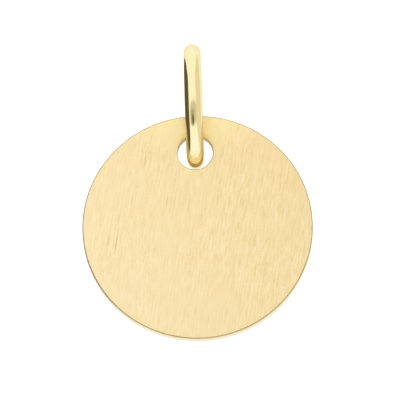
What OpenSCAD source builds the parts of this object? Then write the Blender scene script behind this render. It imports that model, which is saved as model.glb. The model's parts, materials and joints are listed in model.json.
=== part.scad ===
// Engravable pendant: a plain round disc that hangs by its drilled hole from an oval bail of polished wire.
// The origin is at the top of the bail's opening, where a chain bears. The face for engraving looks along -Y,
// the bail's loop lies in the YZ plane, and a chain runs through it along X.

/* [Disc] */
// Diameter of the disc
disc_d = 15; // [12:0.5:20]
// Thickness of the disc
disc_t = 0.8; // [0.6:0.1:1]
// Width of the fine chamfer round both faces
edge_chamfer = 0.06; // [0.04:0.02:0.1]

/* [Hole] */
// Room left under the bail's wire in the hole, which sets the hole's diameter
hole_play = 0.17; // [0.1:0.01:0.5]
// Metal left between the hole and the rim of the disc
hole_margin = 1.3; // [1:0.1:1.6]

/* [Bail] */
// Height of the opening inside the bail
opening_h = 4.84; // [4.4:0.04:5.4]
// Depth of the opening inside the bail, from front to back
opening_d = 2.04; // [1.92:0.04:2.6]
// Width of the bail's wire, as seen from the front
wire_w = 1.14; // [1:0.02:1.3]
// Thickness of the wire across the loop, from its outside to its inside
wire_t = 1.76; // [1.4:0.02:1.8]
// Gap left where the hole's edges hang on the wire
hang_gap = 0.04; // [0.02:0.01:0.08]

/* [Hidden] */
$fn = 96;
gold = [0.93, 0.80, 0.50];
half_t = disc_t / 2;

// The oval is four arcs. Each joint lies on a line that leans 3 up for 4 along, so that the end arcs and the
// side arcs share their tangents there, and the centres and radii all follow from the height and the depth.
lean_along = 4 / 5;
lean_up = 3 / 5;
oval_step = (opening_h - opening_d) / 4;
end_centre = 3 * oval_step;
side_centre = 4 * oval_step;
opening_end_r = opening_h / 2 - end_centre;
opening_side_r = opening_d / 2 + side_centre;
end_r = opening_end_r + wire_t;
side_r = opening_side_r + wire_t;

// Height above the bottom of the opening at which the disc's edges meet the wire: on the end arc if the disc is
// thin for it, and otherwise on the side arcs
end_rise = opening_end_r - sqrt(max(0, opening_end_r * opening_end_r - half_t * half_t));
slope_reach = side_centre + half_t;
slope_rise = opening_h / 2 - sqrt(opening_side_r * opening_side_r - slope_reach * slope_reach);
seat_rise = half_t < lean_along * opening_end_r ? end_rise : slope_rise;
hole_d = wire_t + seat_rise + hang_gap + hole_play;

// Heights, down from the top of the opening
loop_mid_z = -opening_h / 2;
hole_z = -opening_h + seat_rise + hang_gap - hole_d / 2;
disc_z = hole_z + hole_d / 2 + hole_margin - disc_d / 2;

// Section of the wire: as wide as wire_w, with full round edges inside and outside the loop
module wire_section() {
    round_shift = (wire_t - wire_w) / 2;
    square([2 * round_shift, wire_w], center = true);
    for (side = [-1, 1])
        translate([side * round_shift, 0])
            circle(d = wire_w);
}

// One arc of the loop about the origin, between the directions [along, across] and [along, -across]
module bow(outer_r, along, across) {
    reach = 2 * outer_r;
    intersection() {
        rotate_extrude()
            translate([outer_r - wire_t / 2, 0])
                wire_section();
        linear_extrude(height = 2 * wire_w, center = true)
            polygon([[0, 0], [reach * along, -reach * across], [reach * along, reach * across]]);
    }
}

// The whole loop in the XY plane, centred, with its height along Y
module oval_loop() {
    for (turn = [0, 180])
        rotate([0, 0, turn]) {
            translate([-side_centre, 0, 0])
                bow(side_r, lean_along, lean_up);
            translate([0, end_centre, 0])
                rotate([0, 0, 90])
                    bow(end_r, lean_up, lean_along);
        }
}

module bail() {
    color(gold)
        translate([0, 0, loop_mid_z])
            rotate([90, 0, 90])
                oval_loop();
}

// Half of the disc's section: a flat plate with a fine chamfer at both edges of the rim
module disc_section() {
    rim_r = disc_d / 2;
    polygon([
        [0, -half_t],
        [rim_r - edge_chamfer, -half_t],
        [rim_r, edge_chamfer - half_t],
        [rim_r, half_t - edge_chamfer],
        [rim_r - edge_chamfer, half_t],
        [0, half_t],
    ]);
}

module disc() {
    color(gold)
        difference() {
            translate([0, 0, disc_z])
                rotate([90, 0, 0])
                    rotate_extrude()
                        disc_section();
            translate([0, 0, hole_z])
                rotate([90, 0, 0])
                    cylinder(d = hole_d, h = 2 * disc_t, center = true);
        }
}

bail();
disc();
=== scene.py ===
import json
from math import cos, hypot, pi, radians, sin, sqrt

import bpy
from mathutils import Matrix, Vector


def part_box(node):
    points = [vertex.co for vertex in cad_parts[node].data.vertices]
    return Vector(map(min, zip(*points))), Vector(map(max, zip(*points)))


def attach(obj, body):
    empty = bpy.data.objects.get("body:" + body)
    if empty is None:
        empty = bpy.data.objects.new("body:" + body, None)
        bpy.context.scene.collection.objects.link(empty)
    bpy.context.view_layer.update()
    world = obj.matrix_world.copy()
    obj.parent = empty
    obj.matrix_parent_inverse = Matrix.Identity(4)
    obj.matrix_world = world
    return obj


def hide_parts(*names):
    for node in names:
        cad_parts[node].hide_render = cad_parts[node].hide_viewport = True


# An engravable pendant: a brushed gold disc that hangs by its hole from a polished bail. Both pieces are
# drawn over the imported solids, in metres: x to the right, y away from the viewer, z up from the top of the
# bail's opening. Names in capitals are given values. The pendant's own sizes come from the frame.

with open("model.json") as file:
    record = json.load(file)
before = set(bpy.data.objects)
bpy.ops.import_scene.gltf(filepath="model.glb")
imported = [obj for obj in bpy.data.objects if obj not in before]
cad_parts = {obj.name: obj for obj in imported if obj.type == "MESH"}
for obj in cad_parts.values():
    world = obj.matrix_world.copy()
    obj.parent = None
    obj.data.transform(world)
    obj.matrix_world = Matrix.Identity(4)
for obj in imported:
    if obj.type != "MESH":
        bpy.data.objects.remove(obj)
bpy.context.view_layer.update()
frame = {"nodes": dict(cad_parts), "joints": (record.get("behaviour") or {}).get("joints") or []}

MM = 0.001

# Sizes of the disc
disc_low, disc_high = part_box("disc")
disc_centre = (disc_low + disc_high) / 2
disc_r = (disc_high.x - disc_low.x) / 2
half_t = (disc_high.y - disc_low.y) / 2
hole_centre = Vector(frame["joints"][0]["pos_m"])
disc_points = [v.co for v in frame["nodes"]["disc"].data.vertices]
hole_r = min(hypot(p.x - hole_centre.x, p.z - hole_centre.z) for p in disc_points)

# Sizes of the bail. The height of its top above the origin is the wire's thickness.
bail_low, bail_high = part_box("bail")
bail_h = bail_high.z - bail_low.z
bail_d = bail_high.y - bail_low.y
bail_middle = Vector((0, 0, bail_high.z - bail_h / 2))
wire_w = bail_high.x - bail_low.x
wire_t = bail_high.z

# Rounding of the disc's edges, and how far the brush lines lean to the right
RIM_ROUND = 0.06 * MM
HOLE_ROUND = 0.05 * MM
BRUSH_LEAN = radians(10.4)


def link(obj):
    bpy.context.scene.collection.objects.link(obj)
    return obj


def closed_grid(name, rings):
    """A closed mesh of quads from rings of equal length, where the last ring joins the first."""
    count = len(rings[0])
    points = [p for ring in rings for p in ring]
    faces = []
    for r in range(len(rings)):
        here = r * count
        there = (r + 1) % len(rings) * count
        for i in range(count):
            j = (i + 1) % count
            faces.append((here + i, here + j, there + j, there + i))
    mesh = bpy.data.meshes.new(name)
    mesh.from_pydata(points, [], faces)
    mesh.shade_smooth()
    return link(bpy.data.objects.new(name, mesh))


# Disc

# Steps of its mesh: round the disc, across a face and over a rounding
RAYS = 720
FACE_STEPS = 12
ROUND_STEPS = 6
# Share of a face's width at which a ring lies beside each of its edges, so that its shading stays flat
EDGE_STEP = 0.004
# A point of the disc that lies less deep than this is on a face
FACE_DEPTH = 0.0005 * MM
# The disc's materials, by their places in its list
FACE, RIM_EDGE, RIM, HOLE, HOLE_EDGE = range(5)


def rim_direction(ray):
    """The direction from the disc's centre to where a ray from the hole's centre meets the rim."""
    rise = hole_centre.z - disc_centre.z
    reach = sqrt(disc_r ** 2 - (rise * cos(ray)) ** 2) - rise * sin(ray)
    return Vector((reach * cos(ray), rise + reach * sin(ray))).normalized()


def disc_rings():
    """Rings that run out over the front face, over the rim, in over the back face and through the hole.

    A side is -1 at the front and 1 at the back.
    """
    rays = [2 * pi * i / RAYS for i in range(RAYS)]
    rim_ways = [rim_direction(a) for a in rays]
    hole_ways = [Vector((cos(a), sin(a))) for a in rays]

    def circle(centre, ways, radius, y):
        return [Vector((centre.x + w.x * radius, y, centre.z + w.y * radius)) for w in ways]

    def face(side, steps):
        inner = circle(hole_centre, hole_ways, hole_r + HOLE_ROUND, side * half_t)
        outer = circle(disc_centre, rim_ways, disc_r - RIM_ROUND, side * half_t)
        return [[a.lerp(b, s) for a, b in zip(inner, outer)] for s in steps]

    def rounding(radius, angle):
        """How far a rounding lies in from the wall and down from the face, from angle 0 at the face."""
        return radius * (1 - sin(angle)), radius * (1 - cos(angle))

    def rim(side, angle):
        inset, depth = rounding(RIM_ROUND, angle)
        return circle(disc_centre, rim_ways, disc_r - inset, side * (half_t - depth))

    def hole(side, angle):
        inset, depth = rounding(HOLE_ROUND, angle)
        return circle(hole_centre, hole_ways, hole_r + inset, side * (half_t - depth))

    steps = [0, EDGE_STEP, *[k / FACE_STEPS for k in range(1, FACE_STEPS)], 1 - EDGE_STEP, 1]
    turns = [pi / 2 * k / ROUND_STEPS for k in range(1, ROUND_STEPS + 1)]
    rings = face(-1, steps)
    rings += [rim(-1, t) for t in turns]
    rings += [rim(1, t) for t in reversed(turns)]
    rings += face(1, list(reversed(steps)))
    rings += [hole(1, t) for t in turns]
    rings += [hole(-1, t) for t in reversed(turns)]
    return rings


def disc_finish(place):
    """Which of its materials the disc has at a point."""
    depth = half_t - abs(place.y)
    if depth < FACE_DEPTH:
        return FACE
    if hypot(place.x - hole_centre.x, place.z - hole_centre.z) < hole_r + HOLE_ROUND:
        return HOLE_EDGE if depth < HOLE_ROUND else HOLE
    return RIM_EDGE if depth < RIM_ROUND else RIM


def add_brush_map(obj):
    """A UV map whose U runs across the brush lines, which is the way that their sheen spreads."""
    along = Vector((sin(BRUSH_LEAN), 0, cos(BRUSH_LEAN)))
    across = Vector((cos(BRUSH_LEAN), 0, -sin(BRUSH_LEAN)))
    uv = obj.data.uv_layers.new(name="brush")
    for loop in obj.data.loops:
        place = (obj.data.vertices[loop.vertex_index].co - disc_centre) / (2 * disc_r)
        uv.data[loop.index].uv = (0.5 + place.dot(across), 0.5 + place.dot(along))


# Bail

# Steps of its mesh: round the loop, and over each half circle of the wire's section
LOOP_STEPS = 480
SECTION_STEPS = 24


def wire_middle(turn):
    """A point of the wire's middle line, and the loop's outward normal there, turned from +Y towards +Z.

    The oval is four arcs, as in the solid. They meet where the normal leans 3 up for 4 along.
    """
    step = (bail_h - bail_d) / 4
    normal = Vector((0, cos(turn), sin(turn)))
    if abs(normal.y) >= 4 / 5:
        centre = Vector((0, -4 * step if normal.y > 0 else 4 * step, 0))
        radius = bail_d / 2 + 4 * step
    else:
        centre = Vector((0, 0, 3 * step if normal.z > 0 else -3 * step))
        radius = bail_h / 2 - 3 * step
    return bail_middle + centre + normal * (radius - wire_t / 2), normal


def bail_rings():
    """Sections of the wire round the loop: flat sides between two half circles as wide as the wire."""
    bend_r = wire_w / 2
    shift = wire_t / 2 - bend_r
    half_turn = [pi * k / SECTION_STEPS - pi / 2 for k in range(SECTION_STEPS + 1)]
    section = [(shift + bend_r * cos(a), bend_r * sin(a)) for a in half_turn]
    section += [(-shift - bend_r * cos(a), -bend_r * sin(a)) for a in half_turn]
    rings = []
    for k in range(LOOP_STEPS):
        centre, normal = wire_middle(2 * pi * k / LOOP_STEPS)
        rings.append([centre + normal * out + Vector((side, 0, 0)) for out, side in section])
    return rings


# Materials


class Nodes:
    """Short calls for a material's node tree."""

    def __init__(self, name):
        self.material = bpy.data.materials.new(name)
        self.material.use_nodes = True
        self.tree = self.material.node_tree
        self.shader = self.tree.nodes["Principled BSDF"]

    def add(self, kind, **values):
        node = self.tree.nodes.new("ShaderNode" + kind)
        for key, value in values.items():
            setattr(node, key, value)
        return node

    def join(self, source, target):
        self.tree.links.new(source, target)

    def place(self):
        """Where a point is in metres, before its piece moves."""
        return self.add("TexCoord").outputs["Object"]

    def noise(self, place, size, detail, roughness, lean=0.0):
        """Noise in grains of that size in millimetres along x, y and z, leaning about the y axis."""
        turned = self.add("VectorRotate", rotation_type="Y_AXIS")
        turned.inputs["Angle"].default_value = -lean
        self.join(place, turned.inputs["Vector"])
        sized = self.add("VectorMath", operation="MULTIPLY")
        sized.inputs[1].default_value = [1 / (side * MM) for side in size]
        self.join(turned.outputs["Vector"], sized.inputs[0])
        node = self.add("TexNoise")
        node.inputs["Scale"].default_value = 1
        node.inputs["Detail"].default_value = detail
        node.inputs["Roughness"].default_value = roughness
        self.join(sized.outputs["Vector"], node.inputs["Vector"])
        return node.outputs["Fac"]

    def along(self, place, direction):
        """How far a point lies in that direction from the disc's centre."""
        shifted = self.add("VectorMath", operation="SUBTRACT")
        shifted.inputs[1].default_value = disc_centre
        self.join(place, shifted.inputs[0])
        dot = self.add("VectorMath", operation="DOT_PRODUCT")
        dot.inputs[1].default_value = direction
        self.join(shifted.outputs["Vector"], dot.inputs[0])
        return dot.outputs["Value"]

    def distance(self, place, centre):
        node = self.add("VectorMath", operation="DISTANCE")
        node.inputs[1].default_value = centre
        self.join(place, node.inputs[0])
        return node.outputs["Value"]

    def spread(self, source, span, result, smooth=False):
        """Maps the span of a source onto the result, and holds the ends beyond it."""
        node = self.add("MapRange", interpolation_type="SMOOTHSTEP" if smooth else "LINEAR")
        for name, value in zip(("From Min", "From Max", "To Min", "To Max"), (*span, *result)):
            node.inputs[name].default_value = value
        self.join(source, node.inputs["Value"])
        return node.outputs["Result"]

    def blend(self, factor, first, second):
        """A colour between two, each a colour or a socket."""
        node = self.add("Mix", data_type="RGBA")
        self.join(factor, node.inputs["Factor"])
        for socket, value in ((node.inputs[6], first), (node.inputs[7], second)):
            if isinstance(value, tuple):
                socket.default_value = (*value, 1)
            else:
                self.join(value, socket)
        return node.outputs[2]

    def maths(self, operation, first, second):
        node = self.add("Math", operation=operation)
        for socket, value in zip(node.inputs, (first, second)):
            if isinstance(value, (int, float)):
                socket.default_value = value
            else:
                self.join(value, socket)
        return node.outputs[0]

    def bump(self, height, depth, after=None):
        """A normal bent by a height, where 1 stands for that depth, on top of an earlier one."""
        node = self.add("Bump")
        node.inputs["Distance"].default_value = depth
        self.join(height, node.inputs["Height"])
        if after:
            self.join(after, node.inputs["Normal"])
        return node.outputs["Normal"]

    def metal(self, colour, roughness, normal):
        """The finished material, a metal with those three sockets."""
        self.join(colour, self.shader.inputs["Base Color"])
        self.join(roughness, self.shader.inputs["Roughness"])
        self.join(normal, self.shader.inputs["Normal"])
        self.shader.inputs["Metallic"].default_value = 1
        return self.material


# Where nearly all values of a noise lie, and their middle
NOISE_SPAN = (0.3, 0.7)
NOISE_MIDDLE = 0.5

# Satin faces: sizes of their grains in millimetres across the brush lines, through the disc and along them
FINE = (0.09, 0.5, 0.8)
STREAK = (0.13, 0.5, 2.4)
GRAIN = (0.10, 0.1, 0.16)
CLOUD = (3, 1, 4)
SCRATCH = (0.10, 0.5, 2.6)
# Shares of the first three in the brush lines, and the depth of the lines
FINE_SHARE = 0.45
STREAK_SHARE = 0.35
GRAIN_SHARE = 0.20
LINE_DEPTH = 0.010 * MM
# Part of the noise in which a scratch deepens from nothing to its full depth
SCRATCH_SPAN = (0.70, 0.83)
# Strength of the lines by patches, and its change from the lower left to the upper right
CLOUD_SPAN = (0.35, 0.65)
CLOUD_GAIN = (1.6, 3.4)
UPPER_RIGHT = (0.8, 0, 0.6)
SIDE_GAIN = (0.75, 1.25)
# Tone of the face, from the upper right to the lower left, where it is palest: the rise towards the lower
# left is painted light
LOWER_LEFT = (-0.7, 0, -0.5)
TONE_AND_PAINTED_LIGHT = (0.35, 0.81)
# Painted light, a warm bright patch at the top of the face: how far its middle is above the rim, where it
# fades, its strength
PAINTED_LIGHT_RISE = 4 * MM
PAINTED_LIGHT_FADE = (4.5 * MM, 7.0 * MM)
PAINTED_LIGHT_SHARE = 0.8
# Painted shade, a darker ring round the hole: how far its middle is above the hole's, where it fades from
# the edge, its strength
SHADE_RING_RISE = 0.25 * MM
SHADE_RING_FADE = (-0.1 * MM, 0.22 * MM)
SHADE_RING_SHARE = 0.75
FACE_ROUGHNESS = (0.34, 0.44)
FACE_ANISOTROPY = 0.5
FACE_DARK = (0.785, 0.61, 0.29)
FACE_LIGHT = (0.98, 0.82, 0.52)
FACE_PAINTED_WARM_LIGHT = (1.0, 0.83, 0.43)
FACE_SHADE_RING = (0.80, 0.62, 0.22)
FACE_SCRATCH = (0.72, 0.56, 0.30)


def brush_tone(n, place, lines):
    """The lines from 0, dark, to 1, light: stronger to the upper right, and paler to the lower left by
    painted light.
    """
    over_disc = (-disc_r, disc_r)
    cloud = n.noise(place, CLOUD, detail=2, roughness=0.5, lean=BRUSH_LEAN)
    patches = n.spread(cloud, CLOUD_SPAN, CLOUD_GAIN)
    to_upper_right = n.spread(n.along(place, UPPER_RIGHT), over_disc, SIDE_GAIN)
    gain = n.maths("MULTIPLY", patches, to_upper_right)
    contrast = n.maths("MULTIPLY", n.maths("SUBTRACT", lines, NOISE_MIDDLE), gain)
    # Painted light: the face's tone grows paler towards the lower left
    tone_and_painted_light = n.spread(n.along(place, LOWER_LEFT), over_disc, TONE_AND_PAINTED_LIGHT)
    return n.spread(n.maths("ADD", contrast, tone_and_painted_light), (0, 1), (0, 1))


def brushed_colour(n, place, tone, deep):
    """The colour of a face: warmer at its top by painted light, with a darker ring of painted shade round
    the hole and dark scratches.
    """
    # Painted light: a warm bright patch over the top of the face
    painted_light_middle = disc_centre + Vector((0, 0, disc_r + PAINTED_LIGHT_RISE))
    painted_light = n.spread(n.distance(place, painted_light_middle), PAINTED_LIGHT_FADE, (PAINTED_LIGHT_SHARE, 0))
    # Painted shade: a darker ring round the hole, as a contact shadow of the bail
    shade_ring_middle = hole_centre + Vector((0, 0, SHADE_RING_RISE))
    shade_ring_fade = [hole_r + reach for reach in SHADE_RING_FADE]
    ring = n.spread(n.distance(place, shade_ring_middle), shade_ring_fade, (SHADE_RING_SHARE, 0))
    colour = n.blend(painted_light, n.blend(tone, FACE_DARK, FACE_LIGHT), FACE_PAINTED_WARM_LIGHT)
    return n.blend(deep, n.blend(ring, colour, FACE_SHADE_RING), FACE_SCRATCH)


def brushed_gold():
    """The satin faces, with fine brush lines and a few scratches."""
    n = Nodes("brushed_gold")
    place = n.place()
    fine = n.noise(place, FINE, detail=2, roughness=0.6, lean=BRUSH_LEAN)
    streak = n.noise(place, STREAK, detail=2, roughness=0.6, lean=BRUSH_LEAN)
    grain = n.noise(place, GRAIN, detail=1, roughness=0.5, lean=BRUSH_LEAN)
    scratch = n.noise(place, SCRATCH, detail=1, roughness=0.5, lean=BRUSH_LEAN)
    deep = n.spread(scratch, SCRATCH_SPAN, (0, 1), smooth=True)
    lines = n.maths("ADD", n.maths("MULTIPLY", fine, FINE_SHARE), n.maths("MULTIPLY", streak, STREAK_SHARE))
    lines = n.maths("ADD", lines, n.maths("MULTIPLY", grain, GRAIN_SHARE))
    colour = brushed_colour(n, place, brush_tone(n, place, lines), deep)
    roughness = n.spread(streak, NOISE_SPAN, FACE_ROUGHNESS)
    normal = n.bump(n.maths("SUBTRACT", lines, deep), LINE_DEPTH)
    tangent = n.add("Tangent", direction_type="UV_MAP", uv_map="brush")
    n.join(tangent.outputs["Tangent"], n.shader.inputs["Tangent"])
    n.shader.inputs["Anisotropic"].default_value = FACE_ANISOTROPY
    return n.metal(colour, roughness, normal)


# Edges, mottled by wear: size of its grains in millimetres, and the depth of the wear
WEAR = (0.5, 0.5, 0.5)
WEAR_DEPTH = 0.004 * MM
RIM_EDGE_ROUGHNESS = (0.42, 0.28)
RIM_EDGE_DARK = (0.31, 0.24, 0.09)
RIM_EDGE_LIGHT = (0.54, 0.43, 0.18)
# Painted shade: the hole's edge is dark round a point at its lower right, and the shade fades between two
# reaches from that point. The point and the reaches are in radii of the hole.
SHADE_MIDDLE = Vector((0.7, 0, -0.7))
SHADE_FADE = (1.1, 1.6)
HOLE_EDGE_ROUGHNESS = (0.85, 0.75)
HOLE_EDGE_SHADE_DARK = (0.50, 0.43, 0.26)
HOLE_EDGE_SHADE_WORN = (0.62, 0.54, 0.34)
HOLE_LIGHT = (1.0, 0.89, 0.60)


def edge_gold():
    """The arris between a face and the rim, a thin line darker than the face, mottled by wear."""
    n = Nodes("edge_gold")
    wear = n.noise(n.place(), WEAR, detail=3, roughness=0.6)
    colour = n.blend(wear, RIM_EDGE_DARK, RIM_EDGE_LIGHT)
    return n.metal(colour, n.spread(wear, NOISE_SPAN, RIM_EDGE_ROUGHNESS), n.bump(wear, WEAR_DEPTH))


def hole_edge_gold():
    """The arris between a face and the hole's wall, mottled by wear, with painted shade darker towards the
    lower right.
    """
    n = Nodes("hole_edge_gold")
    place = n.place()
    wear = n.noise(place, WEAR, detail=3, roughness=0.6)
    shade_fade = [reach * hole_r for reach in SHADE_FADE]
    # Painted shade, darkest round a point at the hole's lower right
    shade = n.spread(n.distance(place, hole_centre + SHADE_MIDDLE * hole_r), shade_fade, (1, 0))
    colour = n.blend(shade, HOLE_LIGHT, n.blend(wear, HOLE_EDGE_SHADE_DARK, HOLE_EDGE_SHADE_WORN))
    return n.metal(colour, n.spread(wear, NOISE_SPAN, HOLE_EDGE_ROUGHNESS), n.bump(wear, WEAR_DEPTH))


# Turned rim and drilled hole: sizes of their grains in millimetres, and the depth of the lines
TURNED_CLOUD = (0.4, 0.2, 0.4)
TURNED_LINE = (1.5, 0.03, 1.5)
TURNED_DEPTH = 0.001 * MM
RIM_ROUGHNESS = (0.22, 0.34)
RIM_DARK = (0.64, 0.54, 0.31)
RIM_LIGHT = (0.74, 0.63, 0.39)
HOLE_ROUGHNESS = (0.80, 0.95)
HOLE_DARK = (0.93, 0.81, 0.51)


def turned_gold(name, dark, light, roughness):
    """A turned or drilled surface, with faint lines round the disc's axis."""
    n = Nodes(name)
    place = n.place()
    cloud = n.noise(place, TURNED_CLOUD, detail=3, roughness=0.6)
    line = n.noise(place, TURNED_LINE, detail=2, roughness=0.5)
    colour = n.blend(cloud, dark, light)
    return n.metal(colour, n.spread(line, NOISE_SPAN, roughness), n.bump(line, TURNED_DEPTH))


def rim_gold():
    return turned_gold("rim_gold", RIM_DARK, RIM_LIGHT, RIM_ROUGHNESS)


def hole_gold():
    return turned_gold("hole_gold", HOLE_DARK, HOLE_LIGHT, HOLE_ROUGHNESS)


# Mirror polish: sizes of its wave and its haze in millimetres, and their depths
POLISH_WAVE = (0.9, 0.9, 1.2)
POLISH_HAZE = (0.10, 0.10, 0.25)
WAVE_DEPTH = 0.01 * MM
HAZE_DEPTH = 0.0003 * MM
POLISH_ROUGHNESS = (0.05, 0.11)
POLISH_DARK = (0.82, 0.725, 0.415)
POLISH_LIGHT = (0.85, 0.755, 0.44)
POLISH_TINT = (0.86, 0.79, 0.60)


def polished_gold():
    """The bail's mirror polish, with a slight wave and a little haze."""
    n = Nodes("polished_gold")
    place = n.place()
    wave = n.noise(place, POLISH_WAVE, detail=1, roughness=0.5)
    haze = n.noise(place, POLISH_HAZE, detail=3, roughness=0.6)
    colour = n.blend(wave, POLISH_DARK, POLISH_LIGHT)
    normal = n.bump(haze, HAZE_DEPTH, n.bump(wave, WAVE_DEPTH))
    n.shader.inputs["Specular Tint"].default_value = (*POLISH_TINT, 1)
    return n.metal(colour, n.spread(haze, NOISE_SPAN, POLISH_ROUGHNESS), normal)


# Stage: a pale floor, an even white room, and cards that only reflections see

# Just below the camera, which looks up at the pendant
FLOOR_Z = -215 * MM
FLOOR_SIDE = 6
FLOOR_COLOUR = (0.97, 0.97, 0.96)
FLOOR_ROUGHNESS = 0.9
FLOOR_GLOW = 0.12
ROOM_LIGHT = 1.18
CARD_STEPS = 40
# The corners of a card are rounder the lower this is, and at 2 it would be an ellipse
CARD_CORNER = 4
WHITE = (1, 1, 1, 1)
BLACK = (0, 0, 0, 1)


def stage_mesh(name, points, faces, material):
    mesh = bpy.data.meshes.new(name)
    mesh.from_pydata(points, [], faces)
    mesh.materials.append(material)
    obj = link(bpy.data.objects.new(name, mesh))
    return obj


def make_floor():
    n = Nodes("floor_pale")
    n.shader.inputs["Base Color"].default_value = (*FLOOR_COLOUR, 1)
    n.shader.inputs["Roughness"].default_value = FLOOR_ROUGHNESS
    n.shader.inputs["Emission Color"].default_value = WHITE
    n.shader.inputs["Emission Strength"].default_value = FLOOR_GLOW
    half = FLOOR_SIDE / 2
    corners = [(x * half, y * half, FLOOR_Z) for x, y in ((-1, -1), (1, -1), (1, 1), (-1, 1))]
    stage_mesh("floor", corners, [(0, 1, 2, 3)], n.material)


def card_material(name, colour, soft):
    """Glows evenly in its colour and fades out towards its edge."""
    n = Nodes(name)
    reach = n.add("Attribute", attribute_name="reach").outputs["Fac"]
    n.join(n.spread(reach, (1 - soft, 1), (1, 0), smooth=True), n.shader.inputs["Alpha"])
    n.shader.inputs["Base Color"].default_value = BLACK
    n.shader.inputs["Specular IOR Level"].default_value = 0
    n.shader.inputs["Emission Color"].default_value = (*colour, 1)
    n.shader.inputs["Emission Strength"].default_value = 1
    return n.material


def make_card(name, centre, half_side, half_rise, colour, soft):
    """A flat card with rounded corners, soft over that share of its half width.

    Its centre is in metres from the middle of the bail, and two vectors run from there to its edges.
    """
    middle = bail_middle + Vector(centre)
    side, rise = Vector(half_side), Vector(half_rise)
    places = [2 * k / CARD_STEPS - 1 for k in range(CARD_STEPS + 1)]
    grid = [(u, v) for u in places for v in places]
    points = [middle + side * u + rise * v for u, v in grid]
    reach = [(abs(u) ** CARD_CORNER + abs(v) ** CARD_CORNER) ** (1 / CARD_CORNER) for u, v in grid]
    row = CARD_STEPS + 1
    starts = [i * row + j for i in range(CARD_STEPS) for j in range(CARD_STEPS)]
    faces = [(here, here + 1, here + row + 1, here + row) for here in starts]
    card = stage_mesh(name, points, faces, card_material(name, colour, soft))
    card.data.attributes.new("reach", "FLOAT", "POINT").data.foreach_set("value", reach)
    card.visible_camera = False
    card.visible_shadow = False


def make_cards():
    """What the bail reflects: a dark panel at the left, shades in front and at the right, and glows."""
    make_card("left_flag", centre=(-0.11, 0.069, 0.005), half_side=(0, 0.139, 0),
              half_rise=(0, 0.006, 0.087), colour=(0.14, 0.115, 0.07), soft=0.06)
    make_card("front_shade", centre=(0, -0.29, -0.04), half_side=(0.36, 0, 0),
              half_rise=(0, 0, 0.11), colour=(0.76, 0.74, 0.64), soft=0.5)
    make_card("camera_shade", centre=(-0.105, -0.28, -0.074), half_side=(0.205, 0, 0),
              half_rise=(0, 0, 0.075), colour=(0.53, 0.52, 0.40), soft=0.35)
    make_card("camera_front", centre=(-0.055, -0.27, -0.085), half_side=(0.064, 0, 0),
              half_rise=(0, 0, 0.046), colour=(0.12, 0.11, 0.07), soft=0.5)
    make_card("right_shade", centre=(0.11, -0.05, 0.044), half_side=(0, 0.10, 0),
              half_rise=(0, 0.012, 0.124), colour=(0.96, 0.89, 0.77), soft=0.15)
    make_card("low_glow", centre=(0.05, -0.17, -0.19), half_side=(0.17, 0, 0),
              half_rise=(0, 0.09, 0), colour=(1.17, 1.22, 1.50), soft=0.5)
    make_card("top_glow", centre=(0, 0.03, 0.30), half_side=(0.14, 0, 0),
              half_rise=(0, 0.14, 0), colour=(1.17, 1.21, 1.45), soft=0.8)
    make_card("back_glow", centre=(0, 0.25, 0.25), half_side=(0.14, 0, 0),
              half_rise=(0, -0.09, 0.09), colour=(1.20, 1.28, 1.62), soft=0.6)


def make_room():
    world = bpy.data.worlds.new("studio")
    world.use_nodes = True
    background = world.node_tree.nodes["Background"]
    background.inputs["Color"].default_value = WHITE
    background.inputs["Strength"].default_value = ROOM_LIGHT
    bpy.context.scene.world = world


# Camera: it looks up at the hanging pendant from a little to the right, and the picture leans by the roll

LOOK_UP = radians(15)
YAW = radians(0.7)
ROLL = radians(1.8)
# Lens and sensor in millimetres
LENS = 1000
SENSOR = 36
CLIP_START = 0.005
CLIP_END = 10
# Side of the photograph in pixels, its scale, and the pixel where the middle of the disc lies in it
PHOTO_SIDE = 400
PIXELS_PER_MM = 15.36
DISC_PIXEL = (197.7, 228.5)


def make_camera():
    camera = link(bpy.data.objects.new("camera", bpy.data.cameras.new("camera")))
    camera.data.lens = LENS
    camera.data.sensor_width = SENSOR
    camera.data.clip_start = CLIP_START
    camera.data.clip_end = CLIP_END
    field = PHOTO_SIDE / PIXELS_PER_MM * MM
    distance = field / 2 / (SENSOR / 2 / LENS)
    look = Vector((-sin(YAW) * cos(LOOK_UP), cos(YAW) * cos(LOOK_UP), sin(LOOK_UP)))
    turn = look.to_track_quat("-Z", "Y").to_matrix().to_4x4() @ Matrix.Rotation(-ROLL, 4, "Z")
    right, up = turn.col[0].xyz, turn.col[1].xyz
    side = (PHOTO_SIDE / 2 - DISC_PIXEL[0]) / PIXELS_PER_MM * MM
    rise = (DISC_PIXEL[1] - PHOTO_SIDE / 2) / PIXELS_PER_MM * MM
    aim = disc_centre + right * side + up * rise
    camera.matrix_world = Matrix.Translation(aim - look * distance) @ turn
    bpy.context.scene.camera = camera


# Pieces


def make_disc():
    disc = closed_grid("disc_plate", disc_rings())
    add_brush_map(disc)
    # In the order of FACE, RIM_EDGE, RIM, HOLE and HOLE_EDGE
    for make in (brushed_gold, edge_gold, rim_gold, hole_gold, hole_edge_gold):
        disc.data.materials.append(make())
    for polygon in disc.data.polygons:
        polygon.material_index = disc_finish(polygon.center)
    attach(disc, "disc")
    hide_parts("disc")


def make_bail():
    bail = closed_grid("bail_loop", bail_rings())
    bail.data.materials.append(polished_gold())
    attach(bail, "bail")
    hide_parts("bail")


make_camera()
make_room()
make_floor()
make_cards()
make_disc()
make_bail()
bpy.context.scene.view_settings.view_transform = "Standard"
